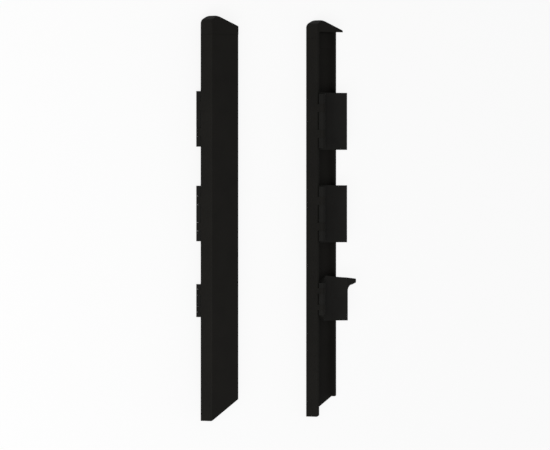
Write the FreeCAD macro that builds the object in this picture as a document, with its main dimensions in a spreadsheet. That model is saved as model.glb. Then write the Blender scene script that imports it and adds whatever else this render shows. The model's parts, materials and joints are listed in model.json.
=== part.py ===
"""A pair of speed-skate blade guards, built as a parametric FreeCAD document in millimetres.

Each guard is a long moulded channel: a narrow sole, one full side wall with a lip along its free
edge, and on the other side three hinged clips that close over the blade tube. A cap closes the nose.

The right guard is modelled first, lying on its full wall. Along each guard the local axes are:
  X  along the sole, from the nose (0) to the heel
  Y  up the walls, from the sole's outer face (0) to their free edges
  Z  across the sole, from the full wall's outer face (0) to the clips
The left guard is the right one mirrored through its mid-height, so that it lies on its clips.
"""
import FreeCAD, Part
import os
import Sketcher
from FreeCAD import Vector

DRIVING_SIZES = {
    # whole pair
    "guard_length": 430.0,
    "guard_spacing": 180.0,
    # channel
    "sole_width": 16.7,
    "sole_thickness": 3.5,
    "wall_height": 42.6,
    "wall_thickness": 2.6,
    "lip_depth": 5.2,
    "lip_thickness": 2.4,
    "edge_radius": 1.5,
    "edge_break": 0.5,
    "heel_cut": 22.5,
    # nose cap
    "cap_length": 20.0,
    "cap_thickness": 2.2,
    "toe_start": 8.3,
    "toe_radius": 6.0,
    "toe_lean": 3.2,
    "toe_rise": 3.4,
    "apex_height": 10.5,
    "nose_slope": 10.0,
    "nose_round_depth": 2.0,
    "nose_round_width": 4.6,
    "cheek_end": 12.5,
    "tongue_length": 10.0,
    "tongue_overlap": 6.5,
    "tongue_thickness": 0.8,
    "seam_width": 0.5,
    "seam_depth": 0.3,
    # hinges
    "knuckle_radius": 3.6,
    "pin_radius": 1.5,
    "running_clearance": 0.06,
    "body_gap": 0.3,
    "lug_side_gap": 0.12,
    "pin_recess": 0.6,
    # clips
    "clip_length": 62.0,
    "clip_thickness": 2.4,
    "clip_inset": 1.5,
    "front_clip_start": 78.5,
    "middle_clip_start": 179.0,
    "flare_start": 24.0,
    "flare_end": 41.0,
    "root_radius": 9.0,
    "nib_position": 19.5,
    "nib_width": 4.0,
    "nib_radius": 2.2,
    "corner_radius": 0.6,
    "tab_radius": 1.5,
    "lug_inset": 11.0,
    "lug_length": 9.0,
    # rear clip and its pull tab
    "rear_clip_start": 277.0,
    "rear_clip_length": 49.0,
    "rear_barrel_start": 285.0,
    "rear_barrel_length": 35.0,
    "rear_lug_inset": 5.5,
    "rear_lug_length": 6.0,
    "tab_reach": 56.0,
    "tab_width": 4.8,
    "tab_neck": 6.5,
    "tab_lean": 3.5,
    "tab_fillet": 7.0,
}


class Size:
    """A length together with the spreadsheet expression that it is worked out from."""

    def __init__(self, value, text):
        self.value = value
        self.text = text

    @staticmethod
    def of(thing):
        return thing if isinstance(thing, Size) else Size(float(thing), repr(float(thing)))

    def joined(self, other, sign, value):
        return Size(value, f"({self.text} {sign} {other.text})")

    def __add__(self, other):
        other = Size.of(other)
        return self.joined(other, "+", self.value + other.value)

    def __sub__(self, other):
        other = Size.of(other)
        return self.joined(other, "-", self.value - other.value)

    def __mul__(self, other):
        other = Size.of(other)
        return self.joined(other, "*", self.value * other.value)

    def __truediv__(self, other):
        other = Size.of(other)
        return self.joined(other, "/", self.value / other.value)

    def __neg__(self):
        return Size(0.0, "0") - self

    def root(self):
        return Size(self.value ** 0.5, f"sqrt({self.text})")

    def __radd__(self, other):
        return Size.of(other) + self

    def __rsub__(self, other):
        return Size.of(other) - self


def make_sheet(doc):
    """Put the driving sizes in a spreadsheet and return each one by its name."""
    sheet = doc.addObject("Spreadsheet::Sheet", "sizes")
    sizes = {}
    for row, (name, value) in enumerate(DRIVING_SIZES.items(), start=1):
        sheet.set(f"A{row}", name)
        sheet.set(f"B{row}", str(value))
        sheet.setAlias(f"B{row}", name)
        sizes[name] = Size(value, f"sizes.{name}")
    return sizes


doc = FreeCAD.newDocument("blade_guards")
D = make_sheet(doc)
doc.recompute()

ZERO = Size.of(0)
LOCAL_PLANES = {"side": "XY_Plane", "section": "YZ_Plane", "plan": "XZ_Plane"}
OVERSHOOT = Size.of(2)
TOLERANCE = 0.01

# Places that several pieces share, across the sole (z) and up the walls (y).
hinge_y = D["knuckle_radius"]
hinge_z = D["sole_width"] + D["body_gap"] + D["knuckle_radius"]
guard_height = hinge_z + D["knuckle_radius"]
clip_outer_z = D["sole_width"]
clip_inner_z = clip_outer_z - D["clip_thickness"]
lip_z = D["wall_thickness"] + D["lip_depth"]
lip_start_y = D["wall_height"] - D["lip_thickness"]
left_y = (D["guard_spacing"] + D["tab_reach"]) / -2
right_y = left_y + D["guard_spacing"]


def bind(thing, path, size):
    thing.setExpression(path, Size.of(size).text)


def new_body(label):
    """A body whose origin is the right guard's nose corner."""
    body = doc.addObject("PartDesign::Body", label)
    body.Label = label
    bind(body, "Placement.Base.x", D["guard_length"] / -2)
    bind(body, "Placement.Base.y", right_y)
    return body


def new_sketch(body, name, plane, offset):
    """A sketch on one of the body's origin planes, moved along the plane's normal."""
    sketch = body.newObject("Sketcher::SketchObject", f"{body.Name}_{name}")
    role = LOCAL_PLANES[plane]
    datum = [feature for feature in body.Origin.OriginFeatures if feature.Role == role][0]
    sketch.AttachmentSupport = [(datum, "")]
    sketch.MapMode = "FlatFace"
    bind(sketch, "AttachmentOffset.Base.z", offset)
    return sketch


def arc_between(start, end, radius, turn):
    """The short arc from start to end; turn is +1 when it runs anticlockwise, else -1."""
    half = (end - start) * 0.5
    height = (radius * radius - half.Length ** 2) ** 0.5
    left = Vector(-half.y, half.x, 0).normalize()
    bulge = start + half - left * ((radius - height) * turn)
    return Part.Arc(start, bulge, end) if turn > 0 else Part.Arc(end, bulge, start)


def add_outline(sketch, corners):
    """Draw a closed outline through corners, each (x, y) or (x, y, radius, turn).

    A corner with a radius starts an arc to the next corner; the others start a straight line.
    Every corner is held at its two expressions, and every arc at its radius.
    """
    first = sketch.GeometryCount
    points = [Vector(Size.of(c[0]).value, Size.of(c[1]).value, 0) for c in corners]
    for index, corner in enumerate(corners):
        start, end = points[index], points[(index + 1) % len(points)]
        if len(corner) == 2:
            sketch.addGeometry(Part.LineSegment(start, end), False)
        else:
            sketch.addGeometry(arc_between(start, end, Size.of(corner[2]).value, corner[3]), False)

    def ends(index):
        """The sketcher's numbers for an edge's start and end; an arc runs anticlockwise."""
        corner = corners[index]
        return (2, 1) if len(corner) == 4 and corner[3] < 0 else (1, 2)

    for index, corner in enumerate(corners):
        edge = first + index
        following = first + (index + 1) % len(corners)
        joint = Sketcher.Constraint("Coincident", edge, ends(index)[1],
                                    following, ends((index + 1) % len(corners))[0])
        sketch.addConstraint(joint)
        for kind, size in (("DistanceX", corner[0]), ("DistanceY", corner[1])):
            value = Size.of(size).value
            number = sketch.addConstraint(Sketcher.Constraint(kind, -1, 1, edge, ends(index)[0], value))
            bind(sketch, f"Constraints[{number}]", size)
        if len(corner) == 4:
            radius = Size.of(corner[2])
            number = sketch.addConstraint(Sketcher.Constraint("Radius", edge, radius.value))
            bind(sketch, f"Constraints[{number}]", radius)


def add_circle(sketch, x, y, radius):
    edge = sketch.addGeometry(Part.Circle(Vector(x.value, y.value, 0), Vector(0, 0, 1), radius.value), False)
    for kind, size in (("DistanceX", x), ("DistanceY", y)):
        number = sketch.addConstraint(Sketcher.Constraint(kind, -1, 1, edge, 3, size.value))
        bind(sketch, f"Constraints[{number}]", size)
    number = sketch.addConstraint(Sketcher.Constraint("Radius", edge, radius.value))
    bind(sketch, f"Constraints[{number}]", radius)


def rectangle(x0, y0, x1, y1):
    return [(x0, y0), (x1, y0), (x1, y1), (x0, y1)]


def pad(body, name, plane, start, length, outlines=(), circles=()):
    """Extrude outlines and circles from start along the plane's normal."""
    sketch = new_sketch(body, f"{name}_sketch", plane, start)
    for outline in outlines:
        add_outline(sketch, outline)
    for circle in circles:
        add_circle(sketch, *circle)
    feature = body.newObject("PartDesign::Pad", f"{body.Name}_{name}")
    feature.Profile = sketch
    bind(feature, "Length", length)
    return feature


def pocket(body, name, plane, start, length, outlines=(), circles=()):
    """Cut outlines and circles from start along the plane's normal, and check that material goes."""
    doc.recompute()
    before = body.Shape.Volume
    sketch = new_sketch(body, f"{name}_sketch", plane, start)
    for outline in outlines:
        add_outline(sketch, outline)
    for circle in circles:
        add_circle(sketch, *circle)
    feature = body.newObject("PartDesign::Pocket", f"{body.Name}_{name}")
    feature.Profile = sketch
    feature.Reversed = True
    bind(feature, "Length", length)
    doc.recompute()
    if body.Shape.Volume >= before:
        raise RuntimeError(f"{body.Name}_{name} cuts nothing")
    return feature


def round_edges(body, name, radius, wanted):
    """Round every edge of the body that the wanted function picks by its bounding box."""
    doc.recompute()
    base = body.Tip
    names = [f"Edge{number}" for number, edge in enumerate(base.Shape.Edges, start=1)
             if wanted(edge.BoundBox)]
    fillet = body.newObject("PartDesign::Fillet", f"{body.Name}_{name}")
    fillet.Base = (base, names)
    bind(fillet, "Radius", radius)
    doc.recompute()


# ---- channel: sole, full wall, lip and hinge lugs ----

def lip_end_corners():
    """The rounded end of the lip, from the wall's free edge round to the lip's inner face."""
    half = D["lip_thickness"] / 2
    return [
        (D["wall_height"], lip_z - half, half, 1),
        (D["wall_height"] - half, lip_z, half, 1),
        (lip_start_y, lip_z - half),
    ]


def channel_section():
    """The sole and the full wall with its lip, drawn across the guard."""
    radius = D["edge_radius"]
    corner = D["edge_break"]
    return [
        (radius, ZERO),
        (D["wall_height"] - corner, ZERO, corner, 1),
        (D["wall_height"], corner),
        *lip_end_corners(),
        (lip_start_y, D["wall_thickness"]),
        (D["sole_thickness"], D["wall_thickness"]),
        (D["sole_thickness"], D["sole_width"] - corner, corner, 1),
        (D["sole_thickness"] - corner, D["sole_width"]),
        (radius, D["sole_width"], radius, 1),
        (ZERO, D["sole_width"] - radius),
        (ZERO, radius, radius, 1),
    ]


def lug_section():
    """A hinge lug: a round end on the hinge axis, and a web that grows out of the sole's edge."""
    web_start = D["sole_width"] - D["edge_radius"]
    return [
        (ZERO, web_start),
        (D["sole_thickness"], web_start),
        (D["sole_thickness"], clip_outer_z),
        (hinge_y * 2, hinge_z, D["knuckle_radius"], 1),
        (hinge_y, guard_height, D["knuckle_radius"], 1),
        (ZERO, hinge_z),
    ]


def lug_starts(barrel_start, barrel_length, inset, length):
    return [barrel_start + inset, barrel_start + barrel_length - inset - length]


CLIPS = {
    "front_clip": {
        "start": D["front_clip_start"], "length": D["clip_length"],
        "barrel_start": D["front_clip_start"] + D["clip_inset"],
        "barrel_length": D["clip_length"] - D["clip_inset"] * 2,
        "lug_inset": D["lug_inset"], "lug_length": D["lug_length"],
    },
    "middle_clip": {
        "start": D["middle_clip_start"], "length": D["clip_length"],
        "barrel_start": D["middle_clip_start"] + D["clip_inset"],
        "barrel_length": D["clip_length"] - D["clip_inset"] * 2,
        "lug_inset": D["lug_inset"], "lug_length": D["lug_length"],
    },
    "rear_clip": {
        "start": D["rear_clip_start"], "length": D["rear_clip_length"],
        "barrel_start": D["rear_barrel_start"], "barrel_length": D["rear_barrel_length"],
        "lug_inset": D["rear_lug_inset"], "lug_length": D["rear_lug_length"],
    },
}


def clip_lug_starts(clip):
    return lug_starts(clip["barrel_start"], clip["barrel_length"], clip["lug_inset"], clip["lug_length"])


def build_channel():
    body = new_body("right_channel")
    pad(body, "rail", "section", D["cap_length"], D["guard_length"] - D["cap_length"], [channel_section()])
    for name, clip in CLIPS.items():
        for number, start in enumerate(clip_lug_starts(clip), start=1):
            pad(body, f"{name}_lug_{number}", "section", start, clip["lug_length"], [lug_section()])
        pocket(body, f"{name}_pin_hole", "section", clip["barrel_start"], clip["barrel_length"],
               circles=[(hinge_y, hinge_z, D["pin_radius"])])
    heel_triangle = [
        (D["guard_length"] + OVERSHOOT, ZERO),
        (D["guard_length"] + OVERSHOOT, D["wall_height"] + OVERSHOOT),
        (D["guard_length"] - D["heel_cut"], D["wall_height"] + OVERSHOOT),
        (D["guard_length"] - D["heel_cut"], D["wall_height"]),
        (D["guard_length"], ZERO),
    ]
    pocket(body, "heel_slant", "side", -OVERSHOOT, guard_height + OVERSHOOT * 2, [heel_triangle])
    return body


# ---- nose cap ----

def cap_outline():
    """The cap from the side: rounded toe, front leaning out to an apex, slope back to the free edge."""
    return [
        (D["toe_start"], ZERO),
        (D["cap_length"], ZERO),
        (D["cap_length"], D["wall_height"]),
        (D["nose_slope"], D["wall_height"]),
        (ZERO, D["apex_height"]),
        (D["toe_lean"], D["toe_rise"], D["toe_radius"], 1),
    ]


def nose_corner_cuts():
    """What is cut off the nose's two front corners, drawn on the plan of the sole."""
    depth, width = D["nose_round_depth"], D["nose_round_width"]
    radius = (width * width + depth * depth) / (depth * 2)
    far = D["sole_width"]
    near_cut = [
        (-OVERSHOOT, -OVERSHOOT),
        (depth, -OVERSHOOT),
        (depth, ZERO, radius, -1),
        (ZERO, width),
        (-OVERSHOOT, width),
    ]
    far_cut = [
        (-OVERSHOOT, far - width),
        (ZERO, far - width, radius, -1),
        (depth, far),
        (depth, far + OVERSHOOT),
        (-OVERSHOOT, far + OVERSHOOT),
    ]
    return [near_cut, far_cut]


def seam_groove():
    """A shallow groove round the outside of the cap, drawn across the guard."""
    frame = rectangle(-OVERSHOOT, -OVERSHOOT,
                      D["wall_height"] + OVERSHOOT * 2, D["sole_width"] + OVERSHOOT)
    floor = rectangle(D["seam_depth"], D["seam_depth"],
                      D["wall_height"] + OVERSHOOT, D["sole_width"] - D["seam_depth"])
    return [frame, floor]


def build_cap():
    body = new_body("right_nose_cap")
    pad(body, "block", "side", ZERO, D["sole_width"], [cap_outline()])

    def is_rim(box):
        flat_across = box.ZLength < TOLERANCE
        at_free_edge = box.YMin > D["wall_height"].value - TOLERANCE
        at_seam = box.XMin > D["cap_length"].value - TOLERANCE
        return flat_across and not at_free_edge and not at_seam

    round_edges(body, "rim", D["edge_radius"], is_rim)
    pocket(body, "nose_round", "plan", -(D["wall_height"] + OVERSHOOT),
           D["wall_height"] + OVERSHOOT * 2, nose_corner_cuts())
    hollow = [
        (D["toe_start"], D["sole_thickness"]),
        (D["cap_length"] + OVERSHOOT, D["sole_thickness"]),
        (D["cap_length"] + OVERSHOOT, D["wall_height"] + OVERSHOOT),
        (D["nose_slope"] + D["cap_thickness"], D["wall_height"] + OVERSHOOT),
        (D["nose_slope"] + D["cap_thickness"], D["wall_height"]),
        (D["cap_thickness"], D["apex_height"]),
        (D["toe_lean"] + D["cap_thickness"], D["sole_thickness"] + D["toe_rise"] / 2),
    ]
    pocket(body, "hollow", "side", D["wall_thickness"],
           D["sole_width"] - D["wall_thickness"] - D["cap_thickness"], [hollow])
    cheek_side = rectangle(D["cheek_end"], D["sole_thickness"],
                           D["cap_length"] + OVERSHOOT, D["wall_height"] + OVERSHOOT)
    pocket(body, "cheek_trim", "side", D["wall_thickness"], D["sole_width"], [cheek_side])
    pocket(body, "seam_groove", "section", D["cap_length"] - D["seam_width"], D["seam_width"], seam_groove())
    lip_start = D["nose_slope"] + D["cap_thickness"] / 2
    lip_base = D["wall_thickness"] / 2
    pad(body, "lip", "section", lip_start, D["cap_length"] - lip_start,
        [[(D["wall_height"], lip_base), *lip_end_corners(), (lip_start_y, lip_base)]])
    tongue_start = D["cap_length"] - D["tongue_overlap"]
    tongue_end = D["cap_length"] + D["tongue_length"]
    tongue_span = tongue_end - tongue_start
    wall_top = D["wall_thickness"] + D["tongue_thickness"]
    sole_top = D["sole_thickness"] + D["tongue_thickness"]
    tongue = [
        (D["sole_thickness"], D["wall_thickness"]),
        (lip_start_y, D["wall_thickness"]),
        (lip_start_y, wall_top),
        (sole_top, wall_top),
        (sole_top, clip_inner_z - D["clip_thickness"]),
        (D["sole_thickness"], clip_inner_z - D["clip_thickness"]),
    ]
    pad(body, "tongue", "section", tongue_start, tongue_span, [tongue])
    return body


# ---- clips ----

def clip_section(reach):
    """A clip across the guard: root on the hinge, nib, flared free edge, and a flat beyond it.

    reach is how far the flat goes up from the sole, or None for a clip that ends with its flare.
    """
    thickness = D["clip_thickness"]
    heel_y = D["sole_thickness"] + D["body_gap"]
    heel_z = clip_inner_z + thickness * 0.4
    nib_end = D["nib_position"] + D["nib_width"]
    run, rise = D["flare_end"] - D["flare_start"], guard_height - clip_outer_z
    radius = (run * run + rise * rise) / (rise * 2)
    inner_radius = radius + thickness
    along_y, along_z = (radius - rise) / radius, run / radius
    if reach is None:
        corner = D["edge_break"]
        inner_y = D["flare_end"] + along_z * thickness
        inner_z = guard_height - along_y * thickness
        edge = [
            (D["flare_end"] - along_y * corner, guard_height - along_z * corner, corner, -1),
            (D["flare_end"] + along_z * corner, guard_height - along_y * corner),
            (inner_y - along_z * corner, inner_z + along_y * corner, corner, -1),
            (inner_y - along_y * corner, inner_z - along_z * corner, inner_radius, -1),
        ]
    else:
        drop = radius - rise + thickness
        inner_y = D["flare_start"] + (inner_radius * inner_radius - drop * drop).root()
        edge = [
            (D["flare_end"], guard_height),
            (reach, guard_height),
            (reach, guard_height - thickness),
            (inner_y, guard_height - thickness, inner_radius, -1),
        ]
    return [
        (heel_y, hinge_z - D["knuckle_radius"]),
        (hinge_y, hinge_z),
        (hinge_y * 2, hinge_z, D["root_radius"], 1),
        (hinge_y * 4, clip_outer_z),
        (D["flare_start"], clip_outer_z, radius, 1),
        *edge,
        (D["flare_start"], clip_inner_z),
        (nib_end, clip_inner_z, D["nib_radius"], -1),
        (D["nib_position"], clip_inner_z),
        (hinge_y * 3, clip_inner_z),
        (heel_y + thickness / 2, heel_z),
        (heel_y, heel_z),
    ]


def plain_plan(clip):
    """A straight clip seen from above, with its two free corners rounded."""
    start, end = clip["start"], clip["start"] + clip["length"]
    top = D["flare_end"] + D["clip_thickness"] * 0.5
    radius = D["corner_radius"]
    return [
        (start, hinge_y),
        (end, hinge_y),
        (end, top - radius, radius, 1),
        (end - radius, top),
        (start + radius, top, radius, 1),
        (start, top - radius),
    ]


def tab_plan(clip):
    """The rear clip seen from above: slanted front edge, pull tab, concave fillet, straight back."""
    start, end = clip["start"], clip["start"] + clip["length"]
    top = D["flare_end"] + D["clip_thickness"] * 0.5
    radius, tab_radius = D["corner_radius"], D["tab_radius"]
    tip = start + D["tab_lean"]
    neck = start + D["tab_lean"] + D["tab_neck"]
    return [
        (clip["barrel_start"], hinge_y),
        (clip["barrel_start"] + clip["barrel_length"], hinge_y),
        (end, hinge_y * 3),
        (end, top - radius, radius, 1),
        (end - radius, top),
        (neck + D["tab_fillet"], top, D["tab_fillet"], -1),
        (neck, top + D["tab_fillet"]),
        (tip + D["tab_width"], D["tab_reach"] - tab_radius, tab_radius, 1),
        (tip + D["tab_width"] - tab_radius, D["tab_reach"]),
        (tip + tab_radius / 2, D["tab_reach"]),
        (tip, D["tab_reach"] - tab_radius / 2),
        (start, hinge_y * 4),
    ]


def build_clip(name, clip, plan, reach):
    body = new_body(f"right_{name}")
    margin = OVERSHOOT
    pad(body, "plate", "section", clip["start"] - margin, clip["length"] + margin * 2, [clip_section(reach)])
    frame = rectangle(clip["start"] - margin * 2, -margin,
                      clip["start"] + clip["length"] + margin * 2, D["tab_reach"] + margin * 2)
    pocket(body, "plan_trim", "side", -margin, guard_height + margin * 2, [frame, plan(clip)])
    pad(body, "barrel", "section", clip["barrel_start"], clip["barrel_length"],
        circles=[(hinge_y, hinge_z, D["knuckle_radius"])])
    side_gap = D["lug_side_gap"]
    notch_end = hinge_y * 2 + D["body_gap"] * 2
    notches = [rectangle(start - side_gap, -margin, start + clip["lug_length"] + side_gap, notch_end)
               for start in clip_lug_starts(clip)]
    pocket(body, "lug_notches", "side", -margin, guard_height + margin * 2, notches)
    pocket(body, "pin_bore", "section", clip["barrel_start"] - margin, clip["barrel_length"] + margin * 2,
           circles=[(hinge_y, hinge_z, D["pin_radius"] + D["running_clearance"])])
    return body


# ---- hinge pins ----

def build_pin(name, clip):
    body = new_body(f"right_{name}_pin")
    pad(body, "rod", "section", clip["barrel_start"] + D["pin_recess"],
        clip["barrel_length"] - D["pin_recess"] * 2, circles=[(hinge_y, hinge_z, D["pin_radius"])])
    return body


def mirrored(body):
    """The left guard's copy of a right piece: turned over and set beside it."""
    label = body.Label.replace("right_", "left_")
    copy = doc.addObject("Part::Mirroring", label)
    copy.Label = label
    copy.Source = body
    copy.Normal = Vector(0, 0, 1)
    bind(copy, "Base.z", guard_height / 2)
    bind(copy, "Placement.Base.y", -D["guard_spacing"])
    return copy


def check(pieces):
    """Stop if any object of the document failed, or if a piece isn't one valid solid."""
    for thing in doc.Objects:
        if "Invalid" in thing.State or "Error" in thing.State:
            raise RuntimeError(f"{thing.Name} failed: {thing.State}")
    for piece in pieces:
        if piece.Shape.isNull() or not piece.Shape.isValid():
            raise RuntimeError(f"{piece.Label} has no valid shape")
        if len(piece.Shape.Solids) != 1:
            raise RuntimeError(f"{piece.Label} has {len(piece.Shape.Solids)} solids")


def main():
    right = [build_channel(), build_cap()]
    for name, clip in CLIPS.items():
        if name == "rear_clip":
            right.append(build_clip(name, clip, tab_plan, D["tab_reach"] + OVERSHOOT))
        else:
            right.append(build_clip(name, clip, plain_plan, None))
        right.append(build_pin(name, clip))
    doc.recompute()
    pieces = right + [mirrored(body) for body in right]
    doc.recompute()
    check(pieces)
    os.makedirs("parts", exist_ok=True)
    for piece in pieces:
        piece.Shape.exportStep(f"parts/{piece.Label}.step")


main()
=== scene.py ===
"""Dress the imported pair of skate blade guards: moulded black plastic, steel pins, soft studio."""
import json
import math

import bpy
from mathutils import Matrix, Vector

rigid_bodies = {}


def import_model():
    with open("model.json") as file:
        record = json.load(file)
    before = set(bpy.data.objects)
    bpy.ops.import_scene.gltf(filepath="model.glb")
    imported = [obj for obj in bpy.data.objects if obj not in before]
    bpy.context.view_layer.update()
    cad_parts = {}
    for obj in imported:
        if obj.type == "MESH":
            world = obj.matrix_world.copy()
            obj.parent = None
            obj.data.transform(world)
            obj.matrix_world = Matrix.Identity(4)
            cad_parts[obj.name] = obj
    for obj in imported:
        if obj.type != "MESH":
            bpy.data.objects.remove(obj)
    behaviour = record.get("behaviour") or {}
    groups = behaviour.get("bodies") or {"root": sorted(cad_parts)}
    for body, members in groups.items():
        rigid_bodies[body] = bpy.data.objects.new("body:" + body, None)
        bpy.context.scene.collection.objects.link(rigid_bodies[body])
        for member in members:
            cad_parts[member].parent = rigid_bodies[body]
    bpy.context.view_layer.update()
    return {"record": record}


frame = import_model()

# Camera, as the pair was shot: a long lens looking down on the soles, with the picture turned so
# that the noses point up.
CAMERA_ELEVATION = math.radians(41.1)
CAMERA_DISTANCE = 6.38
CAMERA_TARGET = Vector((0.0072, 0.0115, 0.0))
LENS_MM = 387.2

BACKDROP_SIZE = 6.0
FLOOR_DROP = 0.0002          # keeps the floor clear of the faces that lie on it
FLOOR_WHITE = 0.95
SHADOW_SHARE = 0.12          # the part of the floor's look that takes light, and so the shadow

WORLD_STRENGTH = 0.35
KEY_LIGHT = {"position": (0.4, -1.6, 1.25), "size": 1.2, "power": 28.0}     # in front of the soles
FILL_LIGHT = {"position": (0.6, 1.8, 0.6), "size": 1.5, "power": 5.0}       # low behind the pair

# Surface of the plastic: clouds and scuffs as shares of its own colour, gloss around its roughness.
CLOUD_DARK, CLOUD_LIGHT = 0.92, 1.08
SCUFF_LIGHT = 2.2
GLOSS_BELOW, GLOSS_ABOVE = 0.06, 0.08
GRAIN_STRENGTH = 0.35
ALONG_GUARD = (0.06, 1.0, 1.0)
ALONG_PIN = (0.05, 1.0, 1.0)


def new_material(name):
    """A material with only a Principled shader, joined to its output."""
    material = bpy.data.materials.new(name)
    material.use_nodes = True
    tree = material.node_tree
    tree.nodes.clear()
    shader = tree.nodes.new("ShaderNodeBsdfPrincipled")
    output = tree.nodes.new("ShaderNodeOutputMaterial")
    tree.links.new(shader.outputs["BSDF"], output.inputs["Surface"])
    return material, tree, shader, output


def stretched_coordinates(tree, scale):
    """The object's own coordinates, plain and stretched by a scale."""
    coords = tree.nodes.new("ShaderNodeTexCoord").outputs["Object"]
    stretch = tree.nodes.new("ShaderNodeMapping")
    stretch.inputs["Scale"].default_value = scale
    tree.links.new(coords, stretch.inputs["Vector"])
    return coords, stretch.outputs["Vector"]


def noise(tree, coords, scale, detail=2.0, roughness=0.5):
    node = tree.nodes.new("ShaderNodeTexNoise")
    node.inputs["Scale"].default_value = scale
    node.inputs["Detail"].default_value = detail
    node.inputs["Roughness"].default_value = roughness
    tree.links.new(coords, node.inputs["Vector"])
    return node


def ramp(tree, value, low, high, low_at=0.35, high_at=0.65):
    """Map a value to the range between two colours, or between two numbers given as greys."""
    node = tree.nodes.new("ShaderNodeValToRGB")
    for stop, position, level in zip(node.color_ramp.elements, (low_at, high_at), (low, high)):
        stop.position = position
        stop.color = (*level, 1.0) if isinstance(level, tuple) else (level, level, level, 1.0)
    tree.links.new(value, node.inputs["Fac"])
    return node


def moulded_plastic(name, grey, specular, roughness, grain_scale, grain_depth):
    """Black injection-moulded plastic: fine grain, uneven gloss and faint long scuffs."""
    material, tree, shader, _ = new_material(name)
    shader.inputs["Specular IOR Level"].default_value = specular
    coords, stretched = stretched_coordinates(tree, ALONG_GUARD)

    clouds = noise(tree, coords, scale=38.0, detail=4.0, roughness=0.6)
    scuffs = noise(tree, stretched, scale=900.0, detail=5.0, roughness=0.7)
    grain = noise(tree, coords, scale=grain_scale, detail=3.0, roughness=0.6)

    dark = tuple(channel * CLOUD_DARK for channel in grey)
    light = tuple(channel * CLOUD_LIGHT for channel in grey)
    base = ramp(tree, clouds.outputs["Fac"], dark, light)
    worn = ramp(tree, scuffs.outputs["Fac"], 0.0, 1.0, low_at=0.68, high_at=0.82)
    tint = tree.nodes.new("ShaderNodeMix")
    tint.data_type = "RGBA"
    tint.inputs["B"].default_value = (*(channel * SCUFF_LIGHT for channel in grey), 1.0)
    tree.links.new(worn.outputs["Color"], tint.inputs["Factor"])
    tree.links.new(base.outputs["Color"], tint.inputs["A"])
    tree.links.new(tint.outputs["Result"], shader.inputs["Base Color"])

    gloss = ramp(tree, clouds.outputs["Fac"], roughness - GLOSS_BELOW, roughness + GLOSS_ABOVE)
    tree.links.new(gloss.outputs["Color"], shader.inputs["Roughness"])

    bump = tree.nodes.new("ShaderNodeBump")
    bump.inputs["Strength"].default_value = GRAIN_STRENGTH
    bump.inputs["Distance"].default_value = grain_depth
    tree.links.new(grain.outputs["Fac"], bump.inputs["Height"])
    tree.links.new(bump.outputs["Normal"], shader.inputs["Normal"])
    return material


def drawn_steel(name):
    """Blackened steel rod with fine lines along its length."""
    material, tree, shader, _ = new_material(name)
    _, stretched = stretched_coordinates(tree, ALONG_PIN)
    lines = noise(tree, stretched, scale=4000.0, detail=3.0)
    tone = ramp(tree, lines.outputs["Fac"], low=(0.035, 0.035, 0.036), high=(0.06, 0.06, 0.061))
    tree.links.new(tone.outputs["Color"], shader.inputs["Base Color"])
    gloss = ramp(tree, lines.outputs["Fac"], low=0.28, high=0.45)
    tree.links.new(gloss.outputs["Color"], shader.inputs["Roughness"])
    shader.inputs["Metallic"].default_value = 1.0
    return material


MATERIALS = {
    "channel_plastic": moulded_plastic(
        "channel_plastic", grey=(0.0120, 0.0114, 0.0102), specular=0.02, roughness=0.55,
        grain_scale=5200.0, grain_depth=0.00006),
    "clip_plastic": moulded_plastic(
        "clip_plastic", grey=(0.0134, 0.0131, 0.0122), specular=0.02, roughness=0.6,
        grain_scale=6800.0, grain_depth=0.00004),
    "pin_steel": drawn_steel("pin_steel"),
}


def dress_nodes():
    """Give each CAD node the material that its record slot names."""
    for part in frame["record"]["subparts"]:
        node = bpy.data.objects[part["node"]]
        node.data.materials.clear()
        node.data.materials.append(MATERIALS[part["material_slot"]])


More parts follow.
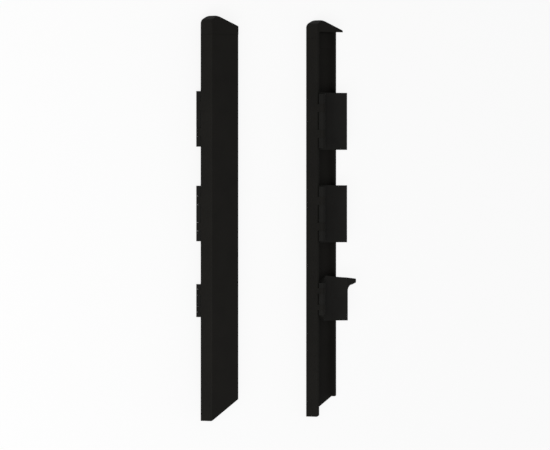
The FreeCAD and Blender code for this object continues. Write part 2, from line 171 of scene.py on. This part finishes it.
def white_floor(name):
    """White to the camera and in reflections, with a share of plain diffuse that keeps the shadow."""
    material, tree, shader, output = new_material(name)
    shader.inputs["Base Color"].default_value = (FLOOR_WHITE, FLOOR_WHITE, FLOOR_WHITE, 1.0)
    shader.inputs["Roughness"].default_value = 0.9
    shader.inputs["Specular IOR Level"].default_value = 0.0
    path = tree.nodes.new("ShaderNodeLightPath")
    seen = tree.nodes.new("ShaderNodeMath")
    seen.operation = "MAXIMUM"
    tree.links.new(path.outputs["Is Camera Ray"], seen.inputs[0])
    tree.links.new(path.outputs["Is Glossy Ray"], seen.inputs[1])
    share = tree.nodes.new("ShaderNodeMath")
    share.operation = "MULTIPLY"
    share.inputs[1].default_value = 1.0 - SHADOW_SHARE
    tree.links.new(seen.outputs["Value"], share.inputs[0])
    glow = tree.nodes.new("ShaderNodeEmission")
    mix = tree.nodes.new("ShaderNodeMixShader")
    tree.links.new(share.outputs["Value"], mix.inputs["Fac"])
    tree.links.new(shader.outputs["BSDF"], mix.inputs[1])
    tree.links.new(glow.outputs["Emission"], mix.inputs[2])
    tree.links.new(mix.outputs["Shader"], output.inputs["Surface"])
    return material


def add_floor():
    half = BACKDROP_SIZE / 2
    mesh = bpy.data.meshes.new("floor")
    corners = [(-half, -half, 0), (half, -half, 0), (half, half, 0), (-half, half, 0)]
    mesh.from_pydata(corners, [], [(0, 1, 2, 3)])
    floor = bpy.data.objects.new("floor", mesh)
    floor.location.z = -FLOOR_DROP
    mesh.materials.append(white_floor("floor_white"))
    bpy.context.scene.collection.objects.link(floor)


def add_area_light(name, position, size, power):
    """A round area light that points at the middle of the pair."""
    data = bpy.data.lights.new(name, "AREA")
    data.shape = "DISK"
    data.size = size
    data.energy = power
    light = bpy.data.objects.new(name, data)
    light.location = position
    light.rotation_euler = (-Vector(position)).to_track_quat("-Z", "Y").to_euler()
    bpy.context.scene.collection.objects.link(light)


def add_lights():
    world = bpy.data.worlds.new("studio")
    world.use_nodes = True
    background = world.node_tree.nodes["Background"]
    background.inputs["Color"].default_value = (1.0, 1.0, 1.0, 1.0)
    background.inputs["Strength"].default_value = WORLD_STRENGTH
    bpy.context.scene.world = world
    add_area_light("key", **KEY_LIGHT)
    add_area_light("fill", **FILL_LIGHT)


def add_camera():
    data = bpy.data.cameras.new("camera")
    data.lens = LENS_MM
    data.clip_end = 50.0
    camera = bpy.data.objects.new("camera", data)
    back = Vector((0, -math.cos(CAMERA_ELEVATION), math.sin(CAMERA_ELEVATION)))
    right = Vector((0, math.sin(CAMERA_ELEVATION), math.cos(CAMERA_ELEVATION)))
    up = Vector((-1, 0, 0))
    camera.matrix_world = Matrix((
        (right.x, up.x, back.x, CAMERA_TARGET.x + back.x * CAMERA_DISTANCE),
        (right.y, up.y, back.y, CAMERA_TARGET.y + back.y * CAMERA_DISTANCE),
        (right.z, up.z, back.z, CAMERA_TARGET.z + back.z * CAMERA_DISTANCE),
        (0, 0, 0, 1),
    ))
    bpy.context.scene.collection.objects.link(camera)
    bpy.context.scene.camera = camera


dress_nodes()
add_floor()
add_lights()
add_camera()
bpy.context.scene.view_settings.view_transform = "Standard"
